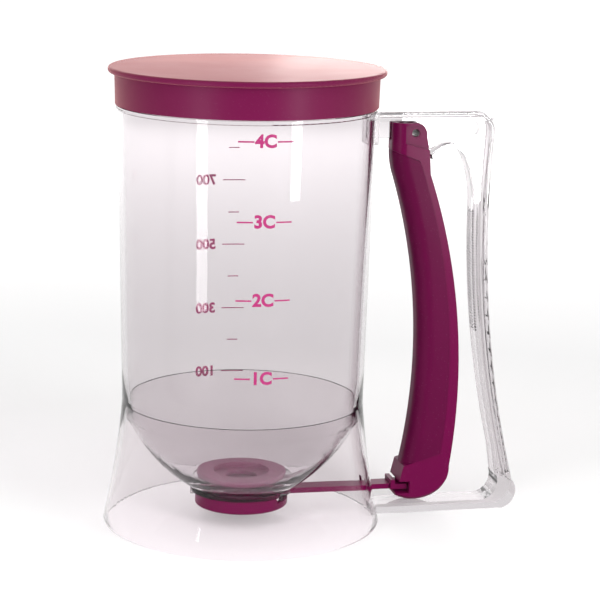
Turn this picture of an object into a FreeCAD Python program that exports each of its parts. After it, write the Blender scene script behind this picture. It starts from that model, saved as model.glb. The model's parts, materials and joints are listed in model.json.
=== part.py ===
import FreeCAD, Part
import math
import os
import re
import Sketcher

# Pancake batter dispenser: a clear jug with a funnel floor, a lift-off lid, and a squeeze
# lever in the handle that draws a sliding gate open under the outlet.
# The origin is on the jug's axis at the surface it stands on, +Z up, the handle along +X.

sizes = {
    # jug and lid
    "overall_height": 188.0,
    "jug_radius": 52.0,
    "jug_taper": 2.3,
    "jug_wall": 2.1,
    "neck_height": 51.1,
    "rim_step": 0.8,
    "bead_height": 1.6,
    "bead_proud": 0.6,
    "bead_edge": 0.48,
    "lid_depth": 15.0,
    "lid_top": 2.4,
    "lid_wall": 1.4,
    "lid_edge": 1.08,
    "lid_overhang": 2.6,
    "lid_draft": 0.3,
    "lid_fit": 0.4,
    "lid_seat_gap": 0.2,
    "lip_depth": 4.0,
    "lip_wall": 1.3,
    "lip_fit": 0.45,
    # flared skirt that the jug stands in
    "foot_flare": 5.5,
    "foot_land": 3.0,
    "foot_edge": 0.6,
    "skirt_wall": 2.05,
    "skirt_sag": 0.95,
    "collar_wall": 1.1,
    "spigot_wall": 1.3,
    "collar_drop": 6.0,
    "collar_fit": 0.1,
    "collar_land": 1.0,
    "spigot_gap": 0.4,
    "neck_step": 1.2,
    "bowl_drop": 4.8,
    # funnel floor and outlet flange
    "bowl_bulge": 3.0,
    "bowl_inner_bulge": 3.6,
    "flange_radius": 21.4,
    "flange_bottom": 12.8,
    "bowl_foot": 14.6,
    "floor_top": 17.1,
    "floor_thickness": 1.8,
    "floor_radius": 19.8,
    "recess_radius": 13.5,
    "socket_radius": 12.5,
    # bayonet collar under the flange, with lugs that carry the cap
    "bayonet_inner": 14.8,
    "bayonet_outer": 16.4,
    "bayonet_depth": 3.4,
    "lug_reach": 0.9,
    "lug_height": 1.2,
    "lug_half_angle": 9.0,
    "lug_angle": 72.0,
    "lug_gap": 0.3,
    "index_inner": 19.7,
    "index_height": 1.4,
    "index_half_angle": 3.0,
    "index_angle": 50.0,
    # soft seat ring in the outlet
    "seat_radius": 18.8,
    "seat_rise": 2.7,
    "seat_bore": 11.5,
    "seat_ramp": 0.9,
    "seat_fit": 0.1,
    "outlet_radius": 6.5,
    "seat_edge": 0.8,
    # twist-off valve cap
    "cap_radius": 19.25,
    "cap_bottom": 6.8,
    "cap_wall": 1.5,
    "cap_floor": 1.8,
    "cap_gap": 0.3,
    "spout_radius": 7.4,
    "spout_wall": 1.8,
    "notch_half_width": 14.7,
    "notch_floor": 9.6,
    "notch_gap": 0.4,
    "cap_edge": 0.7,
    "lug_side_gap": 0.35,
    # sliding gate and its arm
    "gate_half_width": 10.2,
    "gate_centre": 2.6,
    "gate_length": 10.4,
    "gate_thickness": 2.0,
    "gate_gap": 0.1,
    "channel_gap": 0.4,
    "pad_inset": 0.8,
    "pad_thickness": 1.0,
    "pad_proud": 0.2,
    "pad_fit": 0.02,
    "arm_width": 7.5,
    "arm_thickness": 2.2,
    "arm_bottom": 10.4,
    "riser_length": 3.0,
    "riser_width": 14.0,
    "crossbar_length": 1.8,
    "crossbar_width": 10.0,
    "crossbar_rise": 1.8,
    "crossbar_back": 1.0,
    "eye_width": 10.0,
    "eye_radius": 1.9,
    "eye_rim": 0.7,
    "window_gap": 1.0,
    # handle loop
    "handle_width": 10.0,
    "handle_top": 17.8,
    "band_thickness": 1.8,
    "band_edge": 0.7,
    "band_root": 2.0,
    "web_thickness": 2.4,
    "top_arm_height": 4.0,
    "flange_thickness": 1.4,
    "flange_inset": 1.0,
    "strip_foot": 11.3,
    "corner_reach": 51.0,
    "corner_radius": 9.0,
    "leg_bow_outer": 6.3,
    "leg_foot_x": 64.7,
    "leg_foot_z": 12.0,
    "heel_x": 60.0,
    "heel_bulge": 3.2,
    "arm_floor": 0.4,
    "bottom_arm_height": 4.0,
    "bottom_arm_width": 12.0,
    "arch_start_x": 24.6,
    "arch_start_drop": 37.6,
    "arch_mid_x": 39.6,
    "arch_mid_drop": 38.4,
    "arch_rise": 5.3,
    "arch_lean_x": 0.8,
    "arch_lean_z": 0.6,
    "arch_end_x": 43.1,
    "arch_end_drop": 58.0,
    "arch_end_rise": 1.0,
    "leg_inner_x": 55.4,
    "leg_inner_z": 27.0,
    "leg_bow_inner": 3.1,
    "inner_corner_x": 57.2,
    "inner_corner_z": 15.0,
    "inner_corner_end": 51.0,
    "inner_corner_bulge": 2.9,
    "slot_start": 25.0,
    "slot_end": 45.6,
    "ear_drop": 6.2,
    "ear_front": 5.0,
    "weld_fit": 0.05,
    "weld_pad": 1.6,
    "weld_pad_width": 12.0,
    "weld_pad_height": 13.6,
    # squeeze lever, measured from its pivot where it hangs from it
    "pivot_reach": 16.9,
    "pivot_drop": 26.5,
    "pin_radius": 2.2,
    "pin_bore": 1.65,
    "pin_running_gap": 0.06,
    "pin_press_gap": 0.02,
    "pin_inset": 0.1,
    "lever_width": 15.2,
    "grip_width": 16.0,
    "grip_wall": 1.6,
    "grip_gap": 0.1,
    "lever_wall": 2.1,
    "cavity_width": 8.4,
    "head_front": 9.0,
    "head_rise": 4.1,
    "head_flat": 1.4,
    "head_back": 4.7,
    "head_round": 2.2,
    "head_edge": 5.4,
    "head_round_drop": 1.5,
    "nape_x": 5.7,
    "nape_drop": 6.0,
    "grip_top_drop": 7.3,
    "brow_x": 7.0,
    "brow_drop": 19.0,
    "brow_bow": 0.54,
    "rear_top_x": 6.5,
    "rear_top_drop": 16.9,
    "rear_bow": 7.6,
    "step_bow": 6.9,
    "toe_x": 2.9,
    "toe_z": 13.5,
    "tip_x": 4.3,
    "tip_z": 8.4,
    "sole_x": 14.6,
    "sole_z": 9.8,
    "sole_bulge": 2.8,
    "rear_foot_x": 18.7,
    "rear_foot_z": 20.5,
    "heel_round": 1.2,
    "step_top_x": 3.9,
    "step_top_drop": 17.5,
    "step_shoulder_x": 1.8,
    "step_shoulder_drop": 11.6,
    "step_foot_x": 14.4,
    "step_foot_z": 26.0,
    "grip_foot_x": 1.1,
    "grip_foot_z": 21.0,
    "grip_bow": 7.84,
    "front_round": 6.4,
    "bow_reach": 4.4,
    "sole_round": 1.2,
    "ear_facet": 1.0,
    "ear_facet_x": 4.4,
    "ear_facet_drop": 4.2,
    "ear_facet_slope": 4.0,
    "ear_facet_rim": 1.2,
    "cheek_gap": 10.4,
    "fork_drop": 6.5,
    "boss_radius": 3.2,
    "boss_inner": 1.7,
    "rib_thickness": 1.6,
    "rib_count": 4.0,
    "rib_pitch": 27.0,
    "rib_start": 36.0,
    "rib_depth": 7.0,
    "web_room": 0.9,
    "notch_bottom": 9.2,
    "notch_top": 14.3,
    "notch_depth": 6.1,
    "post_radius": 1.3,
    # small overlaps, and how far cutters and hidden ends run past
    "bond": 0.3,
    "past": 1.0,
    "well_past": 6.0,
    "inside_depth": 8.0,
    "bowl_reach": 6.0,
    "end_round": 0.9,
    "nose_round": 0.96,
    "quarter_rise": 0.293,
    # return spring round the pin
    "spring_radius": 3.9,
    "spring_wire": 0.8,
    "spring_pitch": 1.3,
    "spring_turns": 1.5,
    "spring_start": 1.75,
    "spring_leg": 9.0,
}

doc = FreeCAD.newDocument("batter_dispenser")
sheet = doc.addObject("Spreadsheet::Sheet", "Sizes")
for row, (alias, size) in enumerate(sizes.items(), start=1):
    sheet.set("A%d" % row, alias)
    sheet.set("B%d" % row, "%g" % size)
    sheet.setAlias("B%d" % row, alias)
doc.recompute()

# places that several pieces share, written once in terms of the sheet
lid_bottom = "(overall_height - lid_depth)"
lid_under = "(overall_height - lid_top)"
rim_radius = "(jug_radius - rim_step)"
bead_bottom = "(%s - lid_fit - bead_height)" % lid_bottom
neck_radius = "(jug_radius - jug_taper)"
foot_radius = "(jug_radius + foot_flare)"
collar_radius = "(%s - collar_wall)" % neck_radius
spigot_radius = "(%s - collar_fit)" % collar_radius
floor_under = "(floor_top - floor_thickness)"
lug_floor = "(flange_bottom - bayonet_depth)"
gate_bottom = "(flange_bottom + gate_gap)"
gate_top = "(%s + gate_thickness)" % gate_bottom
cap_top = "(flange_bottom - cap_gap)"
arm_top = "(arm_bottom + arm_thickness)"
pivot_x = "(jug_radius + pivot_reach)"
pivot_z = "(overall_height - pivot_drop)"
loop_top = "(overall_height - handle_top)"
arm_under = "(%s - top_arm_height)" % loop_top
strip_bottom = "(%s - strip_foot)" % loop_top
post_x = "(%s - post_radius)" % pivot_x


def bound(text):
    """Write an expression in the sheet's own names."""
    return re.sub(r"[a-z_]{3,}", lambda word: linked(word.group()), text)


def linked(word):
    return "Sizes." + word if word in sizes else word


def amount(text):
    return float(sheet.evalExpression(bound(text)))


def new_body(label):
    body = doc.addObject("PartDesign::Body", label)
    body.Label = label
    return body


def plane_of(body, role):
    return [f for f in body.Origin.OriginFeatures if f.Role == role][0]


def outline(body, name, corners, role="XZ_Plane", level=None):
    """A closed sketch through corners (x, y) or (x, y, rise).

    A rise is how far the side to the next corner bows to the left of its chord, or to the
    right where it has a minus sign in front.
    """
    sketch = body.newObject("Sketcher::SketchObject", name)
    sketch.AttachmentSupport = (plane_of(body, role), "")
    sketch.MapMode = "FlatFace"
    if level is not None:
        sketch.setExpression("AttachmentOffset.Base.z", bound(level))
    places = [FreeCAD.Vector(amount(c[0]), amount(c[1]), 0) for c in corners]
    ends = []
    for i, corner in enumerate(corners):
        start = places[i]
        stop = places[(i + 1) % len(corners)]
        if len(corner) < 3:
            sketch.addGeometry(Part.LineSegment(start, stop))
            ends.append((1, 2))
            continue
        sketch.addGeometry(bowed_arc(start, stop, amount(corner[2])))
        ends.append((2, 1) if corner[2].startswith("-") is False else (1, 2))
    for i in range(len(corners)):
        following = (i + 1) % len(corners)
        joint = Sketcher.Constraint("Coincident", i, ends[i][1], following, ends[following][0])
        sketch.addConstraint(joint)
    for i, corner in enumerate(corners):
        for kind, text, place in (("DistanceX", corner[0], places[i].x), ("DistanceY", corner[1], places[i].y)):
            number = sketch.addConstraint(Sketcher.Constraint(kind, -1, 1, i, ends[i][0], place))
            sketch.setExpression("Constraints[%d]" % number, bound(text))
        if len(corner) == 3:
            radius = bow_radius(corner, corners[(i + 1) % len(corners)])
            number = sketch.addConstraint(Sketcher.Constraint("Radius", i, amount(radius)))
            sketch.setExpression("Constraints[%d]" % number, bound(radius))
    return sketch


def bow_radius(corner, following):
    rise = corner[2].lstrip("-")
    chord = "((%s) - (%s))^2 + ((%s) - (%s))^2" % (following[0], corner[0], following[1], corner[1])
    return "(%s) / (8 * (%s)) + (%s) / 2" % (chord, rise, rise)


def bowed_arc(start, stop, rise):
    """The arc between two places; a sketch keeps it anticlockwise, whichever way it is walked."""
    chord = stop - start
    side = FreeCAD.Vector(-chord.y, chord.x, 0).normalize()
    radius = chord.Length ** 2 / (8 * abs(rise)) + abs(rise) / 2
    centre = (start + stop) / 2 + side * (rise - math.copysign(radius, rise))
    circle = Part.Circle(centre, FreeCAD.Vector(0, 0, 1), radius)
    first, last = (stop, start) if rise > 0 else (start, stop)
    angles = [math.atan2(p.y - centre.y, p.x - centre.x) for p in (first, last)]
    if angles[1] < angles[0]:
        angles[1] += 2 * math.pi
    return Part.ArcOfCircle(circle, angles[0], angles[1])


def round_outline(body, name, x, y, radius, role="XZ_Plane", level=None):
    sketch = body.newObject("Sketcher::SketchObject", name)
    sketch.AttachmentSupport = (plane_of(body, role), "")
    sketch.MapMode = "FlatFace"
    if level is not None:
        sketch.setExpression("AttachmentOffset.Base.z", bound(level))
    centre = FreeCAD.Vector(amount(x), amount(y), 0)
    sketch.addGeometry(Part.Circle(centre, FreeCAD.Vector(0, 0, 1), amount(radius)))
    bonds = (
        ("DistanceX", (-1, 1, 0, 3, centre.x), x),
        ("DistanceY", (-1, 1, 0, 3, centre.y), y),
        ("Radius", (0, amount(radius)), radius),
    )
    for kind, places, text in bonds:
        number = sketch.addConstraint(Sketcher.Constraint(kind, *places))
        sketch.setExpression("Constraints[%d]" % number, bound(text))
    return sketch


def box_corners(low_x, high_x, low_y, high_y):
    return [(low_x, low_y), (high_x, low_y), (high_x, high_y), (low_x, high_y)]


def revolve(body, sketch, kind="Revolution"):
    turn = body.newObject("PartDesign::" + kind, kind + sketch.Name)
    turn.Profile = sketch
    turn.ReferenceAxis = (sketch, ["V_Axis"])
    turn.Angle = 360
    return settled(body, turn, kind == "Groove")


def extrude(body, sketch, length, kind="Pad", both=True, reverse=False):
    block = body.newObject("PartDesign::" + kind, kind + sketch.Name)
    block.Profile = sketch
    block.setExpression("Length", bound(length))
    block.SideType = "Symmetric" if both else "One side"
    block.Reversed = reverse
    return settled(body, block, kind == "Pocket")


def settled(body, feature, cuts):
    """Recompute, and make sure that a cut took something away."""
    before = feature.BaseFeature.Shape.Volume if feature.BaseFeature else 0.0
    doc.recompute()
    if feature.Shape.isNull() or not feature.isValid():
        raise ValueError(feature.Name + " failed")
    if cuts and feature.Shape.Volume > before - 1e-6:
        raise ValueError(feature.Name + " cuts nothing")
    if not cuts and feature.Shape.Volume < before + 1e-6:
        raise ValueError(feature.Name + " adds nothing")
    return feature


def soften(body, radius, wanted, kind="Fillet"):
    """Round the edges of the body's tip that the test picks out."""
    tip = body.Tip
    names = ["Edge%d" % (i + 1) for i, edge in enumerate(tip.Shape.Edges) if wanted(edge)]
    if not names:
        raise ValueError("no edge to round on " + body.Label)
    softer = body.newObject("PartDesign::" + kind, kind + tip.Name)
    softer.Base = (tip, names)
    softer.setExpression("Radius" if kind == "Fillet" else "Size", bound(radius))
    doc.recompute()
    if softer.Shape.isNull() or not softer.isValid():
        raise ValueError(softer.Name + " failed")
    return softer


def middle(edge):
    return edge.valueAt((edge.FirstParameter + edge.LastParameter) / 2)


def curved_front(edge, half, reach):
    """Pick the lever's long front edges, at this half width and in front of this place."""
    place = middle(edge)
    at_side = abs(abs(place.y) - half) < 0.01
    return at_side and isinstance(edge.Curve, Part.Circle) and edge.Length > 5 and place.x < reach


def ring_edge(radius, level):
    """Pick the whole circle of this radius at this height."""
    def wanted(edge):
        curve = edge.Curve
        round_edge = isinstance(curve, Part.Circle) and abs(curve.Radius - amount(radius)) < 0.01
        return round_edge and abs(middle(edge).z - amount(level)) < 0.01
    return wanted


def sector(inner, outer, at, half):
    """Corners of a curved block between two radii, about the direction at, in degrees."""
    low = "(%s - (%s))" % (at, half)
    high = "(%s + (%s))" % (at, half)
    span = "(1 - cos(%s))" % half
    return [
        ("(%s) * cos(%s)" % (inner, low), "(%s) * sin(%s)" % (inner, low)),
        ("(%s) * cos(%s)" % (outer, low), "(%s) * sin(%s)" % (outer, low), "-(%s) * %s" % (outer, span)),
        ("(%s) * cos(%s)" % (outer, high), "(%s) * sin(%s)" % (outer, high)),
        ("(%s) * cos(%s)" % (inner, high), "(%s) * sin(%s)" % (inner, high), "(%s) * %s" % (inner, span)),
    ]


def shell_profile(low_z, top_z):
    """Half section of the jug's and skirt's outer face, with the welded handle's fit added."""
    return [
        ("0", low_z),
        ("(%s + weld_fit)" % foot_radius, low_z),
        ("(%s + weld_fit)" % foot_radius, "0", "skirt_sag"),
        ("(%s + weld_fit)" % neck_radius, "neck_height"),
        ("(jug_radius + weld_fit)", bead_bottom),
        ("(jug_radius + weld_fit)", top_z),
        ("0", top_z),
    ]


def make_container():
    body = new_body("container")
    inner_top = "(jug_radius - jug_wall)"
    spigot_foot = "(neck_height - collar_drop + spigot_gap)"
    bowl_top_radius = "(%s - spigot_wall)" % spigot_radius
    wall = outline(body, "jug_section", [
        ("(%s)" % inner_top, "(%s - lid_seat_gap)" % lid_under),
        ("(%s)" % inner_top, bead_bottom),
        ("(%s - jug_wall)" % neck_radius, "(neck_height + 2 * neck_step)"),
        (bowl_top_radius, "(neck_height + neck_step / 2)"),
        (bowl_top_radius, "(neck_height - bowl_drop)", "bowl_inner_bulge"),
        ("floor_radius", "floor_top"),
        ("socket_radius", "floor_top"),
        ("socket_radius", floor_under),
        ("recess_radius", floor_under),
        ("recess_radius", "flange_bottom"),
        ("bayonet_inner", "flange_bottom"),
        ("bayonet_inner", lug_floor),
        ("bayonet_outer", lug_floor),
        ("bayonet_outer", "flange_bottom"),
        ("flange_radius", "flange_bottom"),
        ("flange_radius", "bowl_foot", "-bowl_bulge"),
        (spigot_radius, spigot_foot),
        (spigot_radius, "neck_height"),
        (neck_radius, "neck_height"),
        ("jug_radius", bead_bottom),
        ("(jug_radius + bead_proud)", bead_bottom),
        ("(jug_radius + bead_proud)", "(%s + bead_height)" % bead_bottom),
        (rim_radius, "(%s + bead_height)" % bead_bottom),
        (rim_radius, "(%s - lid_seat_gap)" % lid_under),
    ])
    revolve(body, wall)
    for side, at in (("right", "lug_angle"), ("left", "-lug_angle"), ("back", "180")):
        lug = outline(body, "bayonet_lug_" + side,
                      sector("(bayonet_outer - bond)", "(bayonet_outer + lug_reach)", at, "lug_half_angle"),
                      "XY_Plane", lug_floor)
        extrude(body, lug, "lug_height", both=False)
    for side, at in (("right", "index_angle"), ("left", "-index_angle"), ("back", "180")):
        rib = outline(body, "index_rib_" + side,
                      sector("index_inner", "flange_radius", at, "index_half_angle"),
                      "XY_Plane", "(flange_bottom - index_height)")
        extrude(body, rib, "(index_height + bond)", both=False)
    channel = outline(body, "gate_channel", [
        ("0", lug_floor + " - past"),
        ("(flange_radius + bowl_reach)", lug_floor + " - past"),
        ("(flange_radius + bowl_reach)", floor_under),
        ("0", floor_under),
    ])
    extrude(body, channel, "2 * (gate_half_width + channel_gap)", "Pocket")
    soften(body, "bead_edge", ring_edge("(jug_radius + bead_proud)", bead_bottom))
    return body


def make_skirt():
    body = new_body("base_skirt")
    foot_inner = "(%s - skirt_wall)" % foot_radius
    section = outline(body, "skirt_section", [
        (foot_inner, "0"),
        (foot_radius, "0", "skirt_sag"),
        (neck_radius, "neck_height"),
        (collar_radius, "neck_height"),
        (collar_radius, "(neck_height - collar_drop - collar_land)", "-skirt_sag"),
        (foot_inner, "foot_land"),
    ])
    revolve(body, section)
    side = "(eye_width / 2 + window_gap)"
    low = "(arm_bottom - window_gap)"
    high = "(%s + crossbar_rise + window_gap)" % arm_top
    middle_z = "((%s + %s) / 2)" % (low, high)
    corner = "((%s - %s) / 2)" % (high, low)
    window = outline(body, "arm_window", [
        ("(0 - %s + %s)" % (side, corner), low),
        ("(%s - %s)" % (side, corner), low, "-%s * end_round" % corner),
        ("(%s - %s)" % (side, corner), high),
        ("(0 - %s + %s)" % (side, corner), high, "-%s * end_round" % corner),
    ], "YZ_Plane", "(jug_radius - inside_depth)")
    extrude(body, window, "(foot_flare + inside_depth + past)", "Pocket", both=False, reverse=True)
    soften(body, "foot_edge", ring_edge(foot_radius, "0"))
    return body


def make_lid():
    body = new_body("lid_cap")
    band = "(%s + lid_fit + lid_wall)" % rim_radius
    lip = "(jug_radius - jug_wall - lip_fit)"
    section = outline(body, "lid_section", [
        ("0", lid_under),
        ("(%s - lip_wall)" % lip, lid_under),
        ("(%s - lip_wall)" % lip, "(%s - lip_depth)" % lid_under),
        (lip, "(%s - lip_depth)" % lid_under),
        (lip, lid_under),
        ("(%s - lid_wall)" % band, lid_under),
        ("(%s - lid_wall)" % band, lid_bottom),
        (band, lid_bottom),
        ("(%s + lid_draft)" % band, lid_under),
        ("(%s + lid_draft + lid_overhang)" % band, lid_under),
        ("(%s + lid_draft + lid_overhang)" % band, "overall_height"),
        ("0", "overall_height"),
    ])
    revolve(body, section)
    rim = "(%s + lid_draft + lid_overhang)" % band
    soften(body, "lid_edge",
           lambda edge: ring_edge(rim, "overall_height")(edge) or ring_edge(rim, lid_under)(edge))
    return body


def make_seat():
    body = new_body("seat_ring")
    plug = "(socket_radius - seat_fit)"
    section = outline(body, "seat_section", [
        ("outlet_radius", "(%s - seat_fit)" % floor_under),
        (plug, "(%s - seat_fit)" % floor_under),
        (plug, "floor_top"),
        ("seat_radius", "floor_top"),
        ("seat_radius", "(floor_top + seat_rise)"),
        ("seat_bore", "(floor_top + seat_rise)"),
        ("seat_bore", "(floor_top + seat_ramp / 3)"),
        ("(seat_bore - seat_ramp)", "floor_top"),
        ("outlet_radius", "floor_top"),
    ])
    revolve(body, section)
    soften(body, "seat_edge", ring_edge("seat_radius", "(floor_top + seat_rise)"))
    soften(body, "seat_edge / 2", ring_edge("seat_bore", "(floor_top + seat_rise)"))
    return body


def make_cap():
    body = new_body("valve_cap")
    inner = "(cap_radius - cap_wall)"
    deck = "(cap_bottom + cap_floor)"
    section = outline(body, "cap_section", [
        ("spout_radius", "cap_bottom"),
        ("cap_radius", "cap_bottom"),
        ("cap_radius", cap_top),
        (inner, cap_top),
        (inner, deck),
        ("(spout_radius + spout_wall)", deck),
        ("(spout_radius + spout_wall)", "(%s - cap_gap)" % gate_bottom),
        ("spout_radius", "(%s - cap_gap)" % gate_bottom),
    ])
    revolve(body, section)
    notch = outline(body, "arm_notch", [
        ("(spout_radius + spout_wall + notch_gap)", "notch_floor"),
        ("(cap_radius + past)", "notch_floor"),
        ("(cap_radius + past)", "(flange_bottom + past)"),
        ("(spout_radius + spout_wall + notch_gap)", "(flange_bottom + past)"),
    ])
    extrude(body, notch, "2 * notch_half_width", "Pocket")
    for side, at in (("right", "lug_angle"), ("left", "-lug_angle"), ("back", "180")):
        lug = outline(body, "cap_lug_" + side,
                      sector("(bayonet_outer + lug_side_gap)", "(%s + bond)" % inner, at, "lug_half_angle"),
                      "XY_Plane", "(%s + lug_height + lug_gap)" % lug_floor)
        extrude(body, lug, "lug_height", both=False)
    soften(body, "cap_edge", ring_edge("cap_radius", "cap_bottom"))
    return body


def gate_corners(inset):
    """Plan of the gate: a round nose towards the outlet and a square back."""
    half = "(gate_half_width - (%s))" % inset
    back = "(gate_centre + gate_length - (%s))" % inset
    return [
        ("gate_centre", half, "-%s * nose_round" % half),
        ("gate_centre", "(0 - %s)" % half),
        (back, "(0 - %s)" % half),
        (back, half),
    ]


def make_gate():
    body = new_body("gate_slide")
    blade = outline(body, "blade_plan", gate_corners("0"), "XY_Plane", gate_bottom)
    extrude(body, blade, "gate_thickness", both=False)
    back = "(gate_centre + gate_length)"
    riser = outline(body, "riser_side", box_corners("(%s - riser_length)" % back, back, "arm_bottom", gate_top))
    extrude(body, riser, "riser_width")
    end = "(%s + eye_radius + eye_rim)" % post_x
    arm = outline(body, "arm_side", box_corners("(%s - past)" % back, end, "arm_bottom", arm_top))
    extrude(body, arm, "arm_width")
    lever_face = "(%s - toe_x)" % pivot_x
    bar_start = "(%s - crossbar_back - crossbar_length)" % lever_face
    eye = outline(body, "eye_side", box_corners(bar_start, end, "arm_bottom", arm_top))
    extrude(body, eye, "eye_width")
    bar = outline(body, "crossbar_side", box_corners(
        bar_start, "(%s + crossbar_length)" % bar_start, "arm_bottom", "(%s + crossbar_rise)" % arm_top))
    extrude(body, bar, "crossbar_width")
    hole = round_outline(body, "eye_hole", post_x, "0", "eye_radius", "XY_Plane", "(arm_bottom - past)")
    extrude(body, hole, "(arm_thickness + 2 * past)", "Pocket", both=False, reverse=True)
    bed = outline(body, "pad_bed", gate_corners("pad_inset"), "XY_Plane", gate_top)
    extrude(body, bed, "(pad_thickness - pad_proud)", "Pocket", both=False)
    return body


def make_gate_pad():
    body = new_body("gate_pad")
    level = "(%s - pad_thickness + pad_proud)" % gate_top
    face = outline(body, "pad_plan", gate_corners("pad_inset + pad_fit"), "XY_Plane", level)
    extrude(body, face, "pad_thickness", both=False)
    return body


def from_jug(text):
    return "(jug_radius + %s)" % text


def below_top(text):
    return "(overall_height - %s)" % text


def make_handle():
    body = new_body("handle_loop")
    inside = "(jug_radius - inside_depth)"
    arm_top_face = "(arm_floor + bottom_arm_height)"
    slot_top = "(%s - weld_fit)" % arm_under

    def outer_run(inset):
        return [
            (inside, "(%s - (%s))" % (loop_top, inset)),
            (from_jug("corner_reach - corner_radius"), "(%s - (%s))" % (loop_top, inset),
             "((corner_radius - (%s)) * quarter_rise)" % inset),
            (from_jug("corner_reach - (%s)" % inset), "(%s - corner_radius)" % loop_top, "-leg_bow_outer"),
            (from_jug("leg_foot_x - (%s)" % inset), "leg_foot_z"),
        ]

    def inner_run(out):
        return [
            (from_jug("inner_corner_x + (%s)" % out), "inner_corner_z"),
            (from_jug("leg_inner_x + (%s)" % out), "leg_inner_z", "leg_bow_inner"),
            (from_jug("arch_end_x + (%s)" % out), below_top("arch_end_drop"), "-arch_end_rise"),
            (from_jug("arch_mid_x + arch_lean_x * (%s)" % out),
             "(%s + arch_lean_z * (%s))" % (below_top("arch_mid_drop"), out), "-arch_rise"),
            (from_jug("arch_start_x"), "(%s + (%s))" % (below_top("arch_start_drop"), out)),
        ]

    heel = [
        (from_jug("leg_foot_x"), "leg_foot_z", "heel_bulge"),
        (from_jug("heel_x"), "arm_floor"),
        (inside, "arm_floor"),
        (inside, arm_top_face),
        (from_jug("inner_corner_end"), arm_top_face, "-inner_corner_bulge"),
        (from_jug("inner_corner_x"), "inner_corner_z"),
    ]
    web = outline(body, "web_face", outer_run("0")[:3] + heel + inner_run("0")[1:] + [
        ("(%s - ear_front / 2)" % pivot_x, "(%s - ear_drop)" % pivot_z),
        ("(%s - ear_front)" % pivot_x, strip_bottom),
        (inside, strip_bottom),
    ])
    extrude(body, web, "web_thickness")
    rim = outline(body, "outer_band", outer_run("0") + walked_back(outer_run("band_thickness")))
    extrude(body, rim, "handle_width")
    half = amount("handle_width") / 2
    outside = amount(from_jug("corner_reach - band_thickness"))
    upper = amount(loop_top) - amount("band_thickness")
    soften(body, "band_edge", lambda edge: abs(abs(middle(edge).y) - half) < 0.01 and edge.Length > 8
           and (middle(edge).z > upper or middle(edge).x > outside))
    bed = outline(body, "inner_band", inner_run("0") + walked_back(inner_run("band_thickness")) + [
        (from_jug("inner_corner_x + band_thickness"), "(inner_corner_z - band_root)"),
        (from_jug("inner_corner_x + band_root / 2"), "(inner_corner_z - band_root)"),
    ])
    extrude(body, bed, "handle_width")
    under = outline(body, "top_arm_flange", box_corners(
        inside, from_jug("corner_reach - band_thickness / 2"), arm_under, "(%s + flange_thickness)" % arm_under))
    extrude(body, under, "(handle_width - flange_inset)")
    foot = outline(body, "bottom_arm", heel)
    extrude(body, foot, "bottom_arm_width")
    weld = outline(body, "weld_pad_side", box_corners(
        inside, from_jug("weld_pad"), "(%s - weld_pad_height)" % loop_top, loop_top))
    extrude(body, weld, "weld_pad_width")
    half_slot = "((%s - %s) / 2)" % (slot_top, strip_bottom)
    slot = outline(body, "web_slot", [
        (from_jug("slot_start"), strip_bottom),
        (from_jug("slot_end - %s" % half_slot), strip_bottom, "-%s * end_round" % half_slot),
        (from_jug("slot_end - %s" % half_slot), slot_top),
        (from_jug("slot_start"), slot_top),
    ])
    extrude(body, slot, "web_thickness + past", "Pocket")
    hole = round_outline(body, "pivot_hole", pivot_x, pivot_z, "(pin_radius + pin_running_gap)")
    extrude(body, hole, "web_thickness + past", "Pocket")
    core = outline(body, "jug_space", shell_profile("-past", "(%s + 3 * past)" % bead_bottom))
    revolve(body, core, "Groove")
    return body


def walked_back(corners):
    """The same run of corners from its far end, with each bow turned to suit."""
    places = [c[:2] for c in corners]
    bows = [c[2] if len(c) == 3 else None for c in corners]
    back = []
    for i in range(len(corners) - 1, -1, -1):
        bow = bows[i - 1] if i > 0 else None
        if bow is None:
            back.append(places[i])
        else:
            back.append(places[i] + (bow[1:] if bow.startswith("-") else "-" + bow,))
    return back


def from_pivot(text):
    return "(%s + %s)" % (pivot_x, text)


def under_pivot(text):
    return "(%s - (%s))" % (pivot_z, text)


def front_at(level):
    """How far out the grip's bowed front edge lies at this height."""
    part_way = "((%s - grip_foot_z) / (%s - grip_foot_z))" % (level, under_pivot("brow_drop"))
    chord = "(%s + (grip_foot_x - brow_x) * %s)" % (from_pivot("(0 - grip_foot_x)"), part_way)
    return "(%s + 4 * grip_bow * %s * (1 - %s))" % (chord, part_way, part_way)


def grip_face(gap):
    """Corners of the step round the soft grip, from the foot of its front edge to the top."""
    return [
        (from_pivot("(0 - grip_foot_x)"), "(grip_foot_z - (%s))" % gap),
        (from_pivot("step_foot_x + (%s)" % gap), "(step_foot_z - (%s))" % gap, "-step_bow"),
        (from_pivot("step_top_x + (%s)" % gap), under_pivot("step_top_drop")),
        (from_pivot("step_shoulder_x + (%s)" % gap), under_pivot("step_shoulder_drop - (%s)" % gap)),
        (from_pivot("(0 - head_front)"), under_pivot("grip_top_drop - (%s)" % gap), "-brow_bow"),
    ]


def make_lever_core():
    """The narrow front of the lever that the soft grip wraps."""
    body = new_body("lever_core")
    wall = "(grip_wall + grip_gap)"
    core = outline(body, "core_side", [
        (from_pivot("%s - head_front" % wall), under_pivot("grip_top_drop - grip_wall")),
        (from_pivot("step_shoulder_x"), under_pivot("grip_top_drop - grip_wall")),
        (from_pivot("step_top_x + past"), under_pivot("step_top_drop"), "step_bow"),
        (from_pivot("step_foot_x + past"), "(step_foot_z - grip_wall)"),
        (from_pivot("%s - grip_foot_x" % wall), "(grip_foot_z - grip_wall)", "-grip_bow"),
        (from_pivot("%s - brow_x" % wall), under_pivot("brow_drop"), "brow_bow"),
    ])
    extrude(body, core, "(grip_width - 2 * %s)" % wall)
    half = amount("grip_width / 2 - grip_wall - grip_gap")
    reach = amount(from_pivot("%s + bow_reach" % wall))
    soften(body, "front_round - grip_wall", lambda edge: curved_front(edge, half, reach))
    return body


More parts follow.
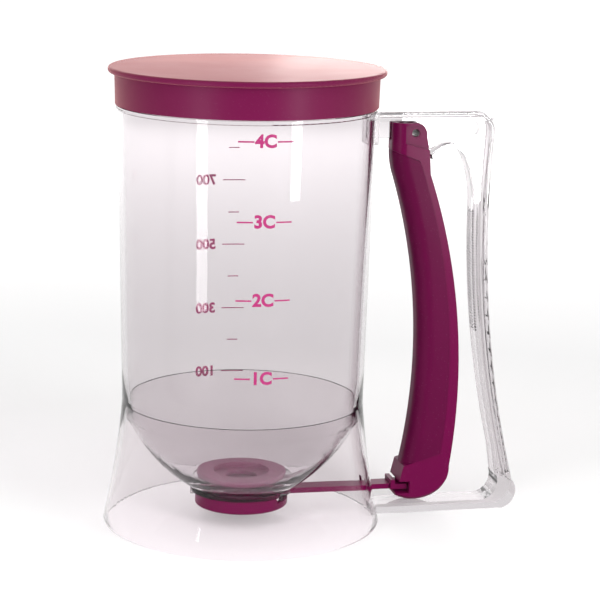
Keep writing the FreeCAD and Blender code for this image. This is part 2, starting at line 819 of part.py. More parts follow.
def make_lever():
    core = make_lever_core()
    body = new_body("trigger_lever")
    wall = "(grip_wall + grip_gap)"
    frame = outline(body, "lever_frame", [
        (from_pivot("(0 - head_front)"), under_pivot("0 - head_rise")),
        (from_pivot("(0 - head_flat)"), under_pivot("0 - head_rise"), "head_round"),
        (from_pivot("head_back"), under_pivot("head_round_drop")),
        (from_pivot("nape_x"), under_pivot("nape_drop")),
        (from_pivot("rear_top_x"), under_pivot("rear_top_drop"), "rear_bow"),
        (from_pivot("rear_foot_x"), "rear_foot_z", "heel_round"),
        (from_pivot("sole_x"), "sole_z", "sole_bulge"),
        (from_pivot("(0 - tip_x)"), "tip_z"),
        (from_pivot("(0 - toe_x)"), "toe_z"),
    ] + grip_face("grip_gap")[:-1] + [
        (from_pivot("(0 - head_front)"), under_pivot("grip_top_drop - grip_gap")),
    ])
    extrude(body, frame, "lever_width")
    half = amount("lever_width") / 2
    front = amount(from_pivot("(0 - head_front)"))
    sole = amount("sole_z")
    soften(body, "head_edge", lambda edge: abs(abs(middle(edge).y) - half) < 0.01
           and edge.Length > 5 and abs(middle(edge).x - front) < 0.1)
    soften(body, "sole_round", lambda edge: abs(abs(middle(edge).y) - half) < 0.01
           and edge.Length > 5 and middle(edge).z < sole, "Chamfer")
    joined = body.newObject("PartDesign::Boolean", "grip_seat")
    joined.setObjects([core])
    joined.Type = 0
    settled(body, joined, False)
    deep = from_pivot("rear_foot_x + well_past")
    channel = outline(body, "lever_channel", [
        (from_pivot("%s + lever_wall - grip_foot_x" % wall), "step_foot_z", "-grip_bow"),
        (from_pivot("%s + lever_wall - brow_x" % wall), under_pivot("brow_drop")),
        (from_pivot("%s + lever_wall - brow_x" % wall), under_pivot("grip_top_drop + fork_drop - bond")),
        (deep, under_pivot("grip_top_drop + fork_drop - bond")),
        (deep, "step_foot_z"),
    ])
    extrude(body, channel, "cavity_width", "Pocket")
    inner_front = from_pivot("lever_wall + bond - head_front")
    above = under_pivot("0 - head_rise - well_past")
    fork = outline(body, "head_fork", box_corners(
        inner_front, deep, under_pivot("grip_top_drop + fork_drop"), above))
    extrude(body, fork, "cheek_gap", "Pocket")
    for i in range(int(sizes["rib_count"])):
        low = "(rib_start + %d * rib_pitch)" % i
        start = "(%s + %s + lever_wall / 2)" % (front_at(low), wall)
        rib = outline(body, "rib_%d" % (i + 1), box_corners(
            start, "(%s + rib_depth)" % start, low, "(%s + rib_thickness)" % low))
        extrude(body, rib, "cavity_width + 2 * bond")
    boss = round_outline(body, "pin_boss", pivot_x, pivot_z, "boss_radius")
    extrude(body, boss, "cheek_gap + 2 * bond")
    slit = outline(body, "web_slit", box_corners(
        from_pivot("(0 - head_front - well_past)"), deep, "(%s - web_room)" % strip_bottom, above))
    extrude(body, slit, "2 * boss_inner", "Pocket")
    bore = round_outline(body, "pin_bore_face", pivot_x, pivot_z, "pin_radius + pin_press_gap")
    extrude(body, bore, "lever_width + past", "Pocket")
    for side, level in (("near", "lever_width / 2"), ("far", "0 - lever_width / 2")):
        facet = outline(body, "ear_facet_" + side, [
            (from_pivot("(0 - ear_facet_x)"), under_pivot("ear_facet_drop")),
            (from_pivot("head_back + well_past"), under_pivot("ear_facet_drop + ear_facet_slope")),
            (from_pivot("head_back + well_past"), under_pivot("ear_facet_rim - head_rise")),
            (from_pivot("(0 - ear_facet_x)"), under_pivot("ear_facet_rim - head_rise")),
        ], level=level)
        extrude(body, facet, "ear_facet", "Pocket", both=False, reverse=side == "far")
    notch = outline(body, "arm_notch_side", box_corners(
        from_pivot("(0 - tip_x - well_past)"), from_pivot("notch_depth - tip_x"), "notch_bottom", "notch_top"))
    extrude(body, notch, "lever_width + past", "Pocket")
    post = round_outline(body, "drive_post", post_x, "0", "post_radius", "XY_Plane", "notch_bottom - bond")
    extrude(body, post, "notch_top - notch_bottom + 2 * bond", both=False)
    return body


def make_grip():
    body = new_body("trigger_grip")
    face = outline(body, "grip_side", grip_face("0") + [
        (from_pivot("(0 - brow_x)"), under_pivot("brow_drop"), "grip_bow"),
    ])
    extrude(body, face, "grip_width")
    hollow = outline(body, "grip_hollow", [
        (from_pivot("grip_wall - grip_foot_x"), "(grip_foot_z - grip_wall)", "-grip_bow"),
        (from_pivot("grip_wall - brow_x"), under_pivot("brow_drop"), "brow_bow"),
        (from_pivot("grip_wall - head_front"), under_pivot("grip_top_drop")),
        (from_pivot("grip_wall - head_front"), under_pivot("grip_top_drop - well_past")),
        (from_pivot("rear_foot_x + well_past"), under_pivot("grip_top_drop - well_past")),
        (from_pivot("rear_foot_x + well_past"), "(grip_foot_z - grip_wall)"),
    ])
    extrude(body, hollow, "grip_width - 2 * grip_wall", "Pocket")
    outer_half = amount("grip_width / 2")
    inner_half = amount("grip_width / 2 - grip_wall")
    middle_x = amount(from_pivot("grip_wall + bow_reach"))
    soften(body, "front_round - grip_wall", lambda edge: curved_front(edge, inner_half, middle_x))
    soften(body, "front_round", lambda edge: curved_front(edge, outer_half, middle_x))
    return body


def make_pin():
    body = new_body("pivot_pin")
    ring = round_outline(body, "pin_face", pivot_x, pivot_z, "pin_radius")
    extrude(body, ring, "(lever_width - 2 * ear_facet - 2 * pin_inset)")
    bore = round_outline(body, "pin_hole", pivot_x, pivot_z, "pin_bore")
    extrude(body, bore, "lever_width", "Pocket")
    return body


def make_spring():
    """Coil round the pin's boss, one leg on the lever's front wall and one on the loop."""
    coil = amount("spring_radius")
    centre = FreeCAD.Vector(amount(pivot_x), 0, amount(pivot_z))
    start_y = amount("spring_start + spring_wire / 2")
    pitch = amount("spring_pitch")
    turns = amount("spring_turns")

    def place(turn):
        angle = math.pi - 2 * math.pi * turn
        out = FreeCAD.Vector(math.cos(angle), 0, math.sin(angle)) * coil
        return centre + out + FreeCAD.Vector(0, start_y + pitch * turn, 0)

    leg = amount("spring_leg")
    count = int(round(turns * 4))
    first = place(0)
    last = place(turns)
    edges = [Part.LineSegment(first + FreeCAD.Vector(0, 0, -leg), first).toShape()]
    for i in range(count):
        edges.append(Part.Arc(place(i / 4), place((i + 0.5) / 4), place((i + 1) / 4)).toShape())
    edges.append(Part.LineSegment(last, last + FreeCAD.Vector(0, 0, -leg)).toShape())
    path = Part.Wire(edges)
    disc = Part.Circle(first + FreeCAD.Vector(0, 0, -leg), FreeCAD.Vector(0, 0, 1), amount("spring_wire / 2"))
    coiled = [place(step / 60) for step in range(int(turns * 60) + 1)]
    apart = [(p - q).Length for i, p in enumerate(coiled) for q in coiled[i + 30:]]
    print("return_spring least gap to itself %.2f mm" % (min(apart) - amount("spring_wire")))
    spring = doc.addObject("Part::Feature", "return_spring")
    spring.Label = "return_spring"
    coil_shape = path.makePipeShell([Part.Wire(disc.toShape())], True, False)
    if coil_shape.Volume < 0:
        coil_shape.reverse()
    spring.Shape = coil_shape
    return spring


def write_parts(pieces):
    for thing in doc.Objects:
        if "Invalid" in thing.State or "Error" in thing.State:
            raise ValueError(thing.Name + " did not compute")
    os.makedirs("parts", exist_ok=True)
    for piece in pieces:
        if piece.Shape.isNull() or not piece.Shape.isValid():
            raise ValueError(piece.Label + " has no sound shape")
        piece.Shape.exportStep("parts/%s.step" % piece.Label)
        print("%-16s %8.0f mm3" % (piece.Label, piece.Shape.Volume))


pieces = [
    make_container(),
    make_skirt(),
    make_lid(),
    make_seat(),
    make_cap(),
    make_gate(),
    make_gate_pad(),
    make_handle(),
    make_lever(),
    make_grip(),
    make_pin(),
    make_spring(),
]
doc.recompute()
write_parts(pieces)
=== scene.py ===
import bmesh
import bpy
import json
import math
from mathutils import Matrix, Vector

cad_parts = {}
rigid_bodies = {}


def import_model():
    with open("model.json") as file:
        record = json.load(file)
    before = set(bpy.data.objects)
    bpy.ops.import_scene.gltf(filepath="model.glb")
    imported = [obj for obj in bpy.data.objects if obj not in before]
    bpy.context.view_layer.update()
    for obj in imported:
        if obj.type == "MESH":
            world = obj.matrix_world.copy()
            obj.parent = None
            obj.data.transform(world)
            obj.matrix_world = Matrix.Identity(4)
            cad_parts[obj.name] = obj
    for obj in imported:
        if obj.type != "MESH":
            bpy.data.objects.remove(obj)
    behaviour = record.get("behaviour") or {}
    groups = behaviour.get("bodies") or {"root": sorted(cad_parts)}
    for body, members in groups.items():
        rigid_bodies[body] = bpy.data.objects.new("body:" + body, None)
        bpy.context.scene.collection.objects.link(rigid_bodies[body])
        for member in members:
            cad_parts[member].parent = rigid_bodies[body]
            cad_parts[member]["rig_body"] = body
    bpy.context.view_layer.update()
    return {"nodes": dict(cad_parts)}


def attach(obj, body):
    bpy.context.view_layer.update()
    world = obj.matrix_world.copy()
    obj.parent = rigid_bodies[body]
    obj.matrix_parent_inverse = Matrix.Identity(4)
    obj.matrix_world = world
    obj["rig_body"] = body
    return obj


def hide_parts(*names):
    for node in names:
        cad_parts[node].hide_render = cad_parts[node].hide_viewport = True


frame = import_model()
scene = bpy.context.scene


# shared shader groups are built once, and each material sets its own values
def newGroup(name, ins, outs):
    group = bpy.data.node_groups.new(name, "ShaderNodeTree")
    for label, value in ins:
        socket = group.interface.new_socket(label, in_out="INPUT", socket_type="NodeSocketFloat")
        socket.default_value = value
    for label, kind in outs:
        group.interface.new_socket(label, in_out="OUTPUT", socket_type=kind)
    return group, group.nodes.new("NodeGroupInput"), group.nodes.new("NodeGroupOutput")


def addNode(tree, kind, **settings):
    node = tree.nodes.new(kind)
    for name, value in settings.items():
        if hasattr(node, name):
            setattr(node, name, value)
        else:
            node.inputs[name.replace("_", " ")].default_value = value
    return node


surfaceGrain = {"waveDetail": 1.0, "streakScale": (900, 900, 60), "scratchDetail": 3.0,
                "smearScale": 60.0, "smearDetail": 4.0}


def buildMouldSurface():
    # slow waviness of a moulded wall, with fine handling scratches on top
    group, given, out = newGroup("mouldSurface", [("Wave Scale", 30), ("Wave", 0.3), ("Scratch", 0.2),
                                                  ("Base Roughness", 0.05), ("Roughness Spread", 0.05)],
                                 [("Height", "NodeSocketFloat"), ("Roughness", "NodeSocketFloat")])
    coords = addNode(group, "ShaderNodeTexCoord")
    wave = addNode(group, "ShaderNodeTexNoise", Detail=surfaceGrain["waveDetail"])
    streak = addNode(group, "ShaderNodeMapping")
    streak.inputs["Scale"].default_value = surfaceGrain["streakScale"]
    scratch = addNode(group, "ShaderNodeTexNoise", Scale=1.0, Detail=surfaceGrain["scratchDetail"])
    smear = addNode(group, "ShaderNodeTexNoise", Scale=surfaceGrain["smearScale"],
                    Detail=surfaceGrain["smearDetail"])
    waveAmount = addNode(group, "ShaderNodeMath", operation="MULTIPLY")
    scratchAmount = addNode(group, "ShaderNodeMath", operation="MULTIPLY")
    height = addNode(group, "ShaderNodeMath", operation="ADD")
    spread = addNode(group, "ShaderNodeMath", operation="MULTIPLY_ADD")
    link = group.links.new
    link(coords.outputs["Object"], wave.inputs["Vector"])
    link(coords.outputs["Object"], streak.inputs["Vector"])
    link(coords.outputs["Object"], smear.inputs["Vector"])
    link(given.outputs["Wave Scale"], wave.inputs["Scale"])
    link(streak.outputs["Vector"], scratch.inputs["Vector"])
    link(wave.outputs["Fac"], waveAmount.inputs[0])
    link(given.outputs["Wave"], waveAmount.inputs[1])
    link(scratch.outputs["Fac"], scratchAmount.inputs[0])
    link(given.outputs["Scratch"], scratchAmount.inputs[1])
    link(waveAmount.outputs[0], height.inputs[0])
    link(scratchAmount.outputs[0], height.inputs[1])
    link(smear.outputs["Fac"], spread.inputs[0])
    link(given.outputs["Roughness Spread"], spread.inputs[1])
    link(given.outputs["Base Roughness"], spread.inputs[2])
    link(height.outputs[0], out.inputs["Height"])
    link(spread.outputs[0], out.inputs["Roughness"])
    return group


dyeGrain = {"cloudDetail": 3.0, "speckScale": 700.0, "speckEdge": 0.16, "speckCore": 0.10}


def buildColourDrift():
    # slight cloudiness in a dyed plastic, with rare pale dust specks
    group, given, out = newGroup("colourDrift", [("Drift Scale", 40), ("Drift", 0.15), ("Dust", 0.1)],
                                 [("Drift Mask", "NodeSocketFloat"), ("Dust Mask", "NodeSocketFloat")])
    coords = addNode(group, "ShaderNodeTexCoord")
    cloud = addNode(group, "ShaderNodeTexNoise", Detail=dyeGrain["cloudDetail"])
    drift = addNode(group, "ShaderNodeMath", operation="MULTIPLY")
    speck = addNode(group, "ShaderNodeTexVoronoi", Scale=dyeGrain["speckScale"])
    few = addNode(group, "ShaderNodeMapRange")
    few.inputs["From Min"].default_value = dyeGrain["speckEdge"]
    few.inputs["From Max"].default_value = dyeGrain["speckCore"]
    dust = addNode(group, "ShaderNodeMath", operation="MULTIPLY")
    link = group.links.new
    link(coords.outputs["Object"], cloud.inputs["Vector"])
    link(coords.outputs["Object"], speck.inputs["Vector"])
    link(given.outputs["Drift Scale"], cloud.inputs["Scale"])
    link(cloud.outputs["Fac"], drift.inputs[0])
    link(given.outputs["Drift"], drift.inputs[1])
    link(speck.outputs["Distance"], few.inputs["Value"])
    link(few.outputs["Result"], dust.inputs[0])
    link(given.outputs["Dust"], dust.inputs[1])
    link(drift.outputs[0], out.inputs["Drift Mask"])
    link(dust.outputs[0], out.inputs["Dust Mask"])
    return group


mouldSurface = buildMouldSurface()
colourDrift = buildColourDrift()
print("shader groups ready")


# places of the two colours and the result among a Mix node's sockets
firstColour, secondColour, mixedColour = 6, 7, 2
reliefDepth = 0.0004
softReach = (0.004, 0.0015, 0.002)


def plasticMaterial(name, look):
    material = bpy.data.materials.new(name)
    material.use_nodes = True
    tree = material.node_tree
    tree.nodes.clear()
    link = tree.links.new
    output = addNode(tree, "ShaderNodeOutputMaterial")
    shader = addNode(tree, "ShaderNodeBsdfPrincipled")
    surface = addNode(tree, "ShaderNodeGroup")
    surface.node_tree = mouldSurface
    drift = addNode(tree, "ShaderNodeGroup")
    drift.node_tree = colourDrift
    for label in ("Wave Scale", "Wave", "Scratch", "Base Roughness", "Roughness Spread"):
        surface.inputs[label].default_value = look[label]
    for label in ("Drift Scale", "Drift", "Dust"):
        drift.inputs[label].default_value = look[label]
    tint = addNode(tree, "ShaderNodeMix", data_type="RGBA")
    tint.inputs[firstColour].default_value = (*look["colour"], 1)
    tint.inputs[secondColour].default_value = (*look["driftColour"], 1)
    dusty = addNode(tree, "ShaderNodeMix", data_type="RGBA")
    dusty.inputs[secondColour].default_value = (*look["dustColour"], 1)
    bump = addNode(tree, "ShaderNodeBump", Strength=look["bump"], Distance=reliefDepth)
    link(drift.outputs["Drift Mask"], tint.inputs[0])
    link(tint.outputs[mixedColour], dusty.inputs[firstColour])
    link(drift.outputs["Dust Mask"], dusty.inputs[0])
    link(dusty.outputs[mixedColour], shader.inputs["Base Color"])
    link(surface.outputs["Roughness"], shader.inputs["Roughness"])
    link(surface.outputs["Height"], bump.inputs["Height"])
    link(bump.outputs["Normal"], shader.inputs["Normal"])
    shader.inputs["IOR"].default_value = look["ior"]
    shader.inputs["Metallic"].default_value = look.get("metallic", 0)
    shader.inputs["Transmission Weight"].default_value = look.get("clear", 0)
    shader.inputs["Sheen Weight"].default_value = look.get("sheen", 0)
    shader.inputs["Sheen Tint"].default_value = (*look.get("sheenTint", (1, 1, 1)), 1)
    shader.inputs["Sheen Roughness"].default_value = look.get("sheenRoughness", 0.5)
    shader.inputs["Subsurface Weight"].default_value = look.get("soft", 0)
    shader.inputs["Subsurface Radius"].default_value = softReach
    if not look.get("clear"):
        link(shader.outputs[0], output.inputs["Surface"])
        return material
    # lamps shine through the clear plastic, slightly tinted
    path = addNode(tree, "ShaderNodeLightPath")
    letThrough = addNode(tree, "ShaderNodeBsdfTransparent")
    letThrough.inputs["Color"].default_value = (*look["shade"], 1)
    mix = addNode(tree, "ShaderNodeMixShader")
    link(path.outputs["Is Shadow Ray"], mix.inputs[0])
    link(shader.outputs[0], mix.inputs[1])
    link(letThrough.outputs[0], mix.inputs[2])
    link(mix.outputs[0], output.inputs["Surface"])
    return material


# clear pieces: the handle, and the paler jug and skirt
clearLook = {
    "colour": (0.70, 0.67, 0.685), "driftColour": (0.64, 0.61, 0.625), "dustColour": (0.95, 0.95, 0.95),
    "shade": (0.90, 0.88, 0.89), "ior": 1.38, "clear": 1.0, "bump": 0.03,
    "Wave Scale": 26, "Wave": 0.5, "Scratch": 0.03, "Base Roughness": 0.0, "Roughness Spread": 0.05,
    "Drift Scale": 14, "Drift": 0.5, "Dust": 0.0,
}
jugLook = {**clearLook, "colour": (0.835, 0.81, 0.823), "driftColour": (0.795, 0.765, 0.78),
           "shade": (0.85, 0.82, 0.84), "ior": 1.23}
skirtLook = {**jugLook, "colour": (0.915, 0.89, 0.90), "driftColour": (0.88, 0.855, 0.87)}
# plum pieces: the lever, valve cup and gate, the satin lid, and the softer grip
plumLook = {
    "colour": (0.105, 0.001, 0.038), "driftColour": (0.13, 0.002, 0.05), "dustColour": (0.5, 0.35, 0.42),
    "ior": 1.16, "bump": 0.12,
    "Wave Scale": 55, "Wave": 0.5, "Scratch": 0.12, "Base Roughness": 0.24, "Roughness Spread": 0.12,
    "Drift Scale": 45, "Drift": 0.5, "Dust": 0.04,
}
lidLook = {**plumLook, "Base Roughness": 0.34,
           "sheen": 0.5, "sheenTint": (1.0, 0.42, 0.36), "sheenRoughness": 0.5}
gripLook = {
    "colour": (0.078, 0.0008, 0.029), "driftColour": (0.098, 0.0015, 0.038), "dustColour": (0.5, 0.35, 0.42),
    "ior": 1.16, "bump": 0.25,
    "Wave Scale": 90, "Wave": 0.35, "Scratch": 0.2, "Base Roughness": 0.34, "Roughness Spread": 0.14,
    "Drift Scale": 60, "Drift": 0.5, "Dust": 0.05,
}
sealLook = {
    "colour": (0.20, 0.055, 0.115), "driftColour": (0.25, 0.08, 0.15), "dustColour": (0.6, 0.5, 0.55),
    "ior": 1.42, "bump": 0.3, "soft": 0.15,
    "Wave Scale": 80, "Wave": 0.4, "Scratch": 0.2, "Base Roughness": 0.42, "Roughness Spread": 0.15,
    "Drift Scale": 70, "Drift": 0.5, "Dust": 0.08,
}
# the gate pad is the seal's silicone with its colour darkened: painted shade for the bottom of the seal
# ring's bore
padPaintedShadeLook = {**sealLook, "colour": (0.11, 0.03, 0.062), "driftColour": (0.15, 0.045, 0.085)}
steelLook = {
    "colour": (0.56, 0.55, 0.54), "driftColour": (0.42, 0.41, 0.41), "dustColour": (0.3, 0.28, 0.27),
    "ior": 1.5, "metallic": 1.0, "bump": 0.2,
    "Wave Scale": 400, "Wave": 0.2, "Scratch": 0.5, "Base Roughness": 0.22, "Roughness Spread": 0.15,
    "Drift Scale": 200, "Drift": 0.5, "Dust": 0.2,
}
inkLook = {
    "colour": (0.30, 0.006, 0.10), "driftColour": (0.36, 0.02, 0.15), "dustColour": (0.7, 0.3, 0.45),
    "ior": 1.45, "bump": 0.1,
    "Wave Scale": 300, "Wave": 0.3, "Scratch": 0.3, "Base Roughness": 0.35, "Roughness Spread": 0.2,
    "Drift Scale": 500, "Drift": 0.6, "Dust": 0.3,
}
clearPlastic = plasticMaterial("clearPlastic", clearLook)
jugPlastic = plasticMaterial("jugPlastic", jugLook)
skirtPlastic = plasticMaterial("skirtPlastic", skirtLook)
plumPlastic = plasticMaterial("plumPlastic", plumLook)
lidPlastic = plasticMaterial("lidPlastic", lidLook)
plumGrip = plasticMaterial("plumGrip", gripLook)
mauveSeal = plasticMaterial("mauveSeal", sealLook)
padPaintedShadeSeal = plasticMaterial("padPaintedShadeSeal", padPaintedShadeLook)
springSteel = plasticMaterial("springSteel", steelLook)
scaleInk = plasticMaterial("scaleInk", inkLook)
print("materials ready")


# moulded pieces, smoothed from the frame's own solids
weldDistance = 0.000002


def finishPiece(name, shape, body, material, creaseAngle=32):
    mesh = bpy.data.meshes.new(name)
    shape.to_mesh(mesh)
    shape.free()
    for attribute in [a.name for a in mesh.attributes if a.name == "custom_normal"]:
        mesh.attributes.remove(mesh.attributes[attribute])
    mesh.materials.clear()
    mesh.materials.append(material)
    mesh.polygons.foreach_set("use_smooth", [True] * len(mesh.polygons))
    mesh.polygons.foreach_set("material_index", [0] * len(mesh.polygons))
    mesh.set_sharp_from_angle(angle=math.radians(creaseAngle))
    piece = bpy.data.objects.new(name, mesh)
    scene.collection.objects.link(piece)
    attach(piece, body)
    return piece


def mouldedPiece(name, node, material):
    shape = bmesh.new()
    shape.from_mesh(frame["nodes"][node].data)
    bmesh.ops.remove_doubles(shape, verts=shape.verts, dist=weldDistance)
    piece = finishPiece(name, shape, frame["nodes"][node]["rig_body"], material)
    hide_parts(node)
    return piece


mouldedPiece("jugShell", "container", jugPlastic)
mouldedPiece("flaredSkirt", "base_skirt", skirtPlastic)
mouldedPiece("handleLoop", "handle_loop", clearPlastic)
mouldedPiece("pivotTube", "pivot_pin", plumPlastic)
mouldedPiece("lidCover", "lid_cap", lidPlastic)
mouldedPiece("valveCup", "valve_cap", plumPlastic)
mouldedPiece("gateBlade", "gate_slide", plumPlastic)
mouldedPiece("squeezeLever", "trigger_lever", plumPlastic)
mouldedPiece("leverGrip", "trigger_grip", plumGrip)
mouldedPiece("sealRing", "seat_ring", mauveSeal)
# the gate pad's darker colour is painted shade in the bore above it
mouldedPiece("gatePad", "gate_pad", padPaintedShadeSeal)
mouldedPiece("coilSpring", "return_spring", springSteel)
print("moulded pieces ready")


# printed scales, thin ink laid on the outside of the tapered wall
wall = {"neckRadius": 0.0497, "topRadius": 0.052, "neckHeight": 0.0511, "topHeight": 0.171}
ink = {"lift": 0.00005, "thickness": 0.00004, "stripWidth": 0.0008, "weld": 1e-7, "creaseAngle": 20}
lettering = {"capShare": 0.70, "boldness": 0.055, "curveSteps": 6}
cupScale = {"levels": ((0.0718, "1C"), (0.103, "2C"), (0.1338, "3C"), (0.1649, "4C")), "middle": -92.9,
            "numeralHeight": 0.0048, "tickWidth": 0.0062, "tickHeight": 0.00062, "tickReach": 0.0076}
millilitreScale = {"first": 0.0506, "step": 0.01396, "count": 8, "tickMiddle": 84.6, "numeralMiddle": 98.5,
                   "numeralHeight": 0.0042, "longTick": 0.0098, "shortTick": 0.0046, "tickHeight": 0.0004}


def inkText(words, height):
    curve = bpy.data.curves.new("inkText", "FONT")
    curve.body = words
    curve.size = height / lettering["capShare"]
    curve.offset = height * lettering["boldness"]
    curve.align_x = "CENTER"
    curve.align_y = "CENTER"
    curve.resolution_u = lettering["curveSteps"]
    curve.extrude = ink["thickness"] / 2
    holder = bpy.data.objects.new("inkText", curve)
    scene.collection.objects.link(holder)
    bpy.context.view_layer.update()
    mesh = bpy.data.meshes.new_from_object(holder)
    shape = bmesh.new()
    shape.from_mesh(mesh)
    bpy.data.objects.remove(holder)
    bpy.data.curves.remove(curve)
    bpy.data.meshes.remove(mesh)
    return shape


def inkTick(width, height, at):
    shape = bmesh.new()
    bmesh.ops.create_cube(shape, size=1, matrix=Matrix.Translation((at, 0, 0))
                          @ Matrix.Diagonal((width, height, ink["thickness"], 1)))
    return shape


def layOnWall(shape, aroundDegrees, level, target):
    # cut into narrow strips first, so that the ink can follow the wall
    span = [v.co.x for v in shape.verts]
    cut = math.floor(min(span) * 1000) / 1000
    while cut < max(span):
        geometry = list(shape.verts) + list(shape.edges) + list(shape.faces)
        bmesh.ops.bisect_plane(shape, geom=geometry, plane_co=(cut, 0, 0), plane_no=(1, 0, 0),
                               dist=ink["weld"])
        cut += ink["stripWidth"]
    for vertex in shape.verts:
        height = level + vertex.co.y
        share = (height - wall["neckHeight"]) / (wall["topHeight"] - wall["neckHeight"])
        radius = wall["neckRadius"] + share * (wall["topRadius"] - wall["neckRadius"])
        turn = math.radians(aroundDegrees) + vertex.co.x / radius
        radius += ink["lift"] + vertex.co.z
        vertex.co = Vector((radius * math.cos(turn), radius * math.sin(turn), height))
    bmesh.ops.remove_doubles(shape, verts=shape.verts, dist=ink["weld"])
    bmesh.ops.recalc_face_normals(shape, faces=shape.faces)
    holder = bpy.data.meshes.new("inkStamp")
    shape.to_mesh(holder)
    target.from_mesh(holder)
    bpy.data.meshes.remove(holder)
    shape.free()


def printCupScale(settings):
    prints = bmesh.new()
    for level, words in settings["levels"]:
        layOnWall(inkText(words, settings["numeralHeight"]), settings["middle"], level, prints)
        for side in (-1, 1):
            tick = inkTick(settings["tickWidth"], settings["tickHeight"], side * settings["tickReach"])
            layOnWall(tick, settings["middle"], level, prints)
    finishPiece("cupMarks", prints, "jug", scaleInk, ink["creaseAngle"])


def printMillilitreScale(settings):
    prints = bmesh.new()
    for number in range(settings["count"]):
        level = settings["first"] + settings["step"] * number
        hundred = number % 2 == 0
        width = settings["longTick"] if hundred else settings["shortTick"]
        layOnWall(inkTick(width, settings["tickHeight"], 0), settings["tickMiddle"], level, prints)
        if hundred:
            words = inkText("%d" % (100 * (number + 1)), settings["numeralHeight"])
            layOnWall(words, settings["numeralMiddle"], level, prints)
    finishPiece("millilitreMarks", prints, "jug", scaleInk, ink["creaseAngle"])


printCupScale(cupScale)
printMillilitreScale(millilitreScale)
print("scales printed")


# moulded finger ribs on the inner face of the handle's leg
legRibs = {"low": (0.0982, 0.078), "middle": (0.0963, 0.104), "high": (0.0951, 0.1285), "count": 44,
           "width": 0.0078, "radius": 0.00042, "sides": 10, "creaseAngle": 50}


def legRibPlace(share):
    # a smooth bow through three points of the leg's inner face
    low, middle, high = (Vector((x, 0, z)) for x, z in (legRibs["low"], legRibs["middle"], legRibs["high"]))
    return (low * (1 - share) * (1 - 2 * share) + middle * 4 * share * (1 - share)
            + high * share * (2 * share - 1))


def makeLegRibs(settings):
    ribs = bmesh.new()
    for number in range(settings["count"]):
        place = legRibPlace(number / (settings["count"] - 1))
        turn = Matrix.Translation(place) @ Matrix.Rotation(math.radians(90), 4, "X")
        bmesh.ops.create_cone(ribs, cap_ends=True, cap_tris=True, segments=settings["sides"],
                              radius1=settings["radius"], radius2=settings["radius"],
                              depth=settings["width"], matrix=turn)
    finishPiece("leverSideRibs", ribs, "jug", clearPlastic, settings["creaseAngle"])


makeLegRibs(legRibs)
print("ribs ready")


# floor, studio light and camera
floorLook = {"paper": (0.62, 0.62, 0.62), "glow": 0.26, "farGlow": 0.83, "near": 0.2, "far": 1.3, "reach": 6}
worldLook = {"ambient": 0.4, "ambientColour": (1.0, 0.98, 0.98), "reflected": 0.2}


def makeFloor(look):
    shape = bmesh.new()
    bmesh.ops.create_grid(shape, x_segments=1, y_segments=1, size=look["reach"])
    mesh = bpy.data.meshes.new("studioFloor")
    shape.to_mesh(mesh)
    shape.free()
    material = bpy.data.materials.new("paleFloor")
    material.use_nodes = True
    tree = material.node_tree
    tree.nodes.clear()
    link = tree.links.new
    output = addNode(tree, "ShaderNodeOutputMaterial")
    paper = addNode(tree, "ShaderNodeBsdfDiffuse")
    paper.inputs["Color"].default_value = (*look["paper"], 1)
    glow = addNode(tree, "ShaderNodeEmission")
    path = addNode(tree, "ShaderNodeLightPath")
    seen = addNode(tree, "ShaderNodeMath", operation="MAXIMUM")
    seenToo = addNode(tree, "ShaderNodeMath", operation="MAXIMUM")
    strength = addNode(tree, "ShaderNodeMath", operation="MULTIPLY")
    both = addNode(tree, "ShaderNodeAddShader")
    # far from the object the floor gives way to an even white backdrop
    coords = addNode(tree, "ShaderNodeTexCoord")
    distance = addNode(tree, "ShaderNodeVectorMath", operation="LENGTH")
    nearFar = addNode(tree, "ShaderNodeMapRange")
    nearFar.inputs["From Min"].default_value = look["near"]
    nearFar.inputs["From Max"].default_value = look["far"]
    nearFar.inputs["To Min"].default_value = look["glow"]
    nearFar.inputs["To Max"].default_value = look["farGlow"]
    link(coords.outputs["Object"], distance.inputs[0])
    link(distance.outputs["Value"], nearFar.inputs["Value"])
    link(nearFar.outputs["Result"], strength.inputs[1])
    link(path.outputs["Is Camera Ray"], seen.inputs[0])
    link(path.outputs["Is Transmission Ray"], seen.inputs[1])
    link(seen.outputs[0], seenToo.inputs[0])
    link(path.outputs["Is Glossy Ray"], seenToo.inputs[1])
    link(seenToo.outputs[0], strength.inputs[0])
    link(strength.outputs[0], glow.inputs["Strength"])
    link(paper.outputs[0], both.inputs[0])
    link(glow.outputs[0], both.inputs[1])
    link(both.outputs[0], output.inputs["Surface"])
    mesh.materials.append(material)
    floor = bpy.data.objects.new("studioFloor", mesh)
    scene.collection.objects.link(floor)


def makeWorld(look):
    world = bpy.data.worlds.new("studioWorld")
    scene.world = world
    world.use_nodes = True
    tree = world.node_tree
    tree.nodes.clear()
    link = tree.links.new
    output = addNode(tree, "ShaderNodeOutputWorld")
    ambient = addNode(tree, "ShaderNodeBackground", Strength=look["ambient"])
    ambient.inputs["Color"].default_value = (*look["ambientColour"], 1)
    backdrop = addNode(tree, "ShaderNodeBackground", Strength=1.0)
    backdrop.inputs["Color"].default_value = (1, 1, 1, 1)
    reflected = addNode(tree, "ShaderNodeBackground", Strength=look["reflected"])
    path = addNode(tree, "ShaderNodeLightPath")
    straight = addNode(tree, "ShaderNodeMath", operation="MAXIMUM")
    mix = addNode(tree, "ShaderNodeMixShader")
    glossy = addNode(tree, "ShaderNodeMixShader")
    link(path.outputs["Is Camera Ray"], straight.inputs[0])
    link(path.outputs["Is Transmission Ray"], straight.inputs[1])
    link(straight.outputs[0], mix.inputs[0])
    link(ambient.outputs[0], glossy.inputs[1])
    link(reflected.outputs[0], glossy.inputs[2])
    link(path.outputs["Is Glossy Ray"], glossy.inputs[0])
    link(glossy.outputs[0], mix.inputs[1])
    link(backdrop.outputs[0], mix.inputs[2])
    link(mix.outputs[0], output.inputs["Surface"])


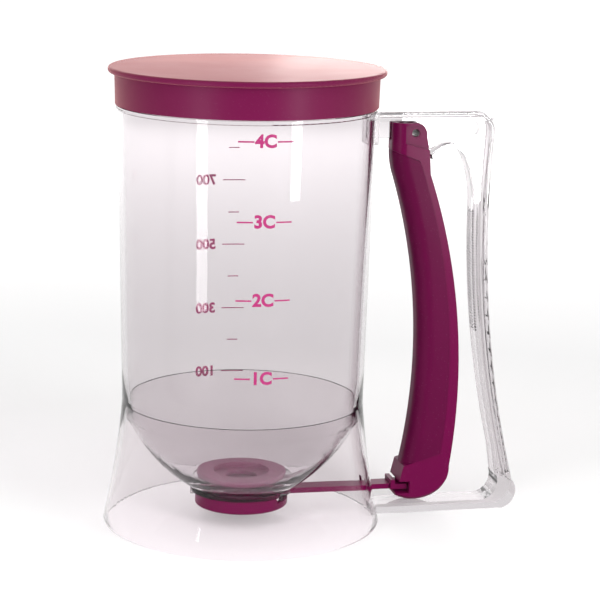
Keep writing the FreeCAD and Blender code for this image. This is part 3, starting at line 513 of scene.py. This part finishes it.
def addSoftbox(name, aim, around, distance, height, size, power, colour=(1, 1, 1)):
    # around is the direction from the jug, in degrees from the handle's side
    lamp = bpy.data.lights.new(name, "AREA")
    lamp.shape = "RECTANGLE"
    lamp.size, lamp.size_y = size
    lamp.energy = power
    lamp.color = colour
    box = bpy.data.objects.new(name, lamp)
    turn = math.radians(around)
    place = Vector((distance * math.cos(turn), distance * math.sin(turn), height))
    facing = (place - Vector(aim)).to_track_quat("Z", "Y")
    box.matrix_world = Matrix.Translation(place) @ facing.to_matrix().to_4x4()
    box.visible_camera = False
    box.visible_transmission = False
    scene.collection.objects.link(box)


makeFloor(floorLook)
makeWorld(worldLook)
# name, aim, direction around, distance, height, size and power of each box
middle = (0.01, 0, 0.1)
addSoftbox("rightBox", middle, -56.6, 1.3, 0.6, (0.4, 0.9), 9)
addSoftbox("leftBox", middle, -140.2, 1.3, 0.6, (0.4, 0.9), 5)
addSoftbox("topBox", middle, -100, 0.5, 1.5, (1.2, 1.2), 8)
addSoftbox("backBox", (0, 0, 0.188), 79, 1.2, 0.45, (1.3, 0.6), 5)
# a small box close behind brightens the far right of the lid
addSoftbox("lidBox", (0.03, 0, 0.188), 63, 0.27, 0.245, (0.12, 0.12), 0.19, (1.0, 0.96, 0.92))
# two low strips close to the jug give the upright bands of light on its wall
addSoftbox("rightStrip", (0, 0, 0.115), -59.9, 0.33, 0.115, (0.05, 0.06), 0.36)
addSoftbox("leftStrip", (0, 0, 0.09), -137.3, 0.33, 0.09, (0.055, 0.13), 0.45)

cameraView = {"place": (-0.1656, -0.8372, 0.2757), "turn": -12.0, "down": 12.07, "roll": 1.07,
              "lens": 127.9, "shiftX": 0.044, "shiftY": -0.0018}
camera = bpy.data.objects.new("photoCamera", bpy.data.cameras.new("photoCamera"))
camera.data.lens = cameraView["lens"]
camera.data.sensor_width = 36
camera.data.shift_x = cameraView["shiftX"]
camera.data.shift_y = cameraView["shiftY"]
camera.data.clip_start = 0.01
camera.matrix_world = (Matrix.Translation(cameraView["place"])
                       @ Matrix.Rotation(math.radians(cameraView["turn"]), 4, "Z")
                       @ Matrix.Rotation(math.radians(90 - cameraView["down"]), 4, "X")
                       @ Matrix.Rotation(math.radians(cameraView["roll"]), 4, "Z"))
scene.collection.objects.link(camera)
scene.camera = camera
scene.view_settings.view_transform = "Standard"
print("studio ready")
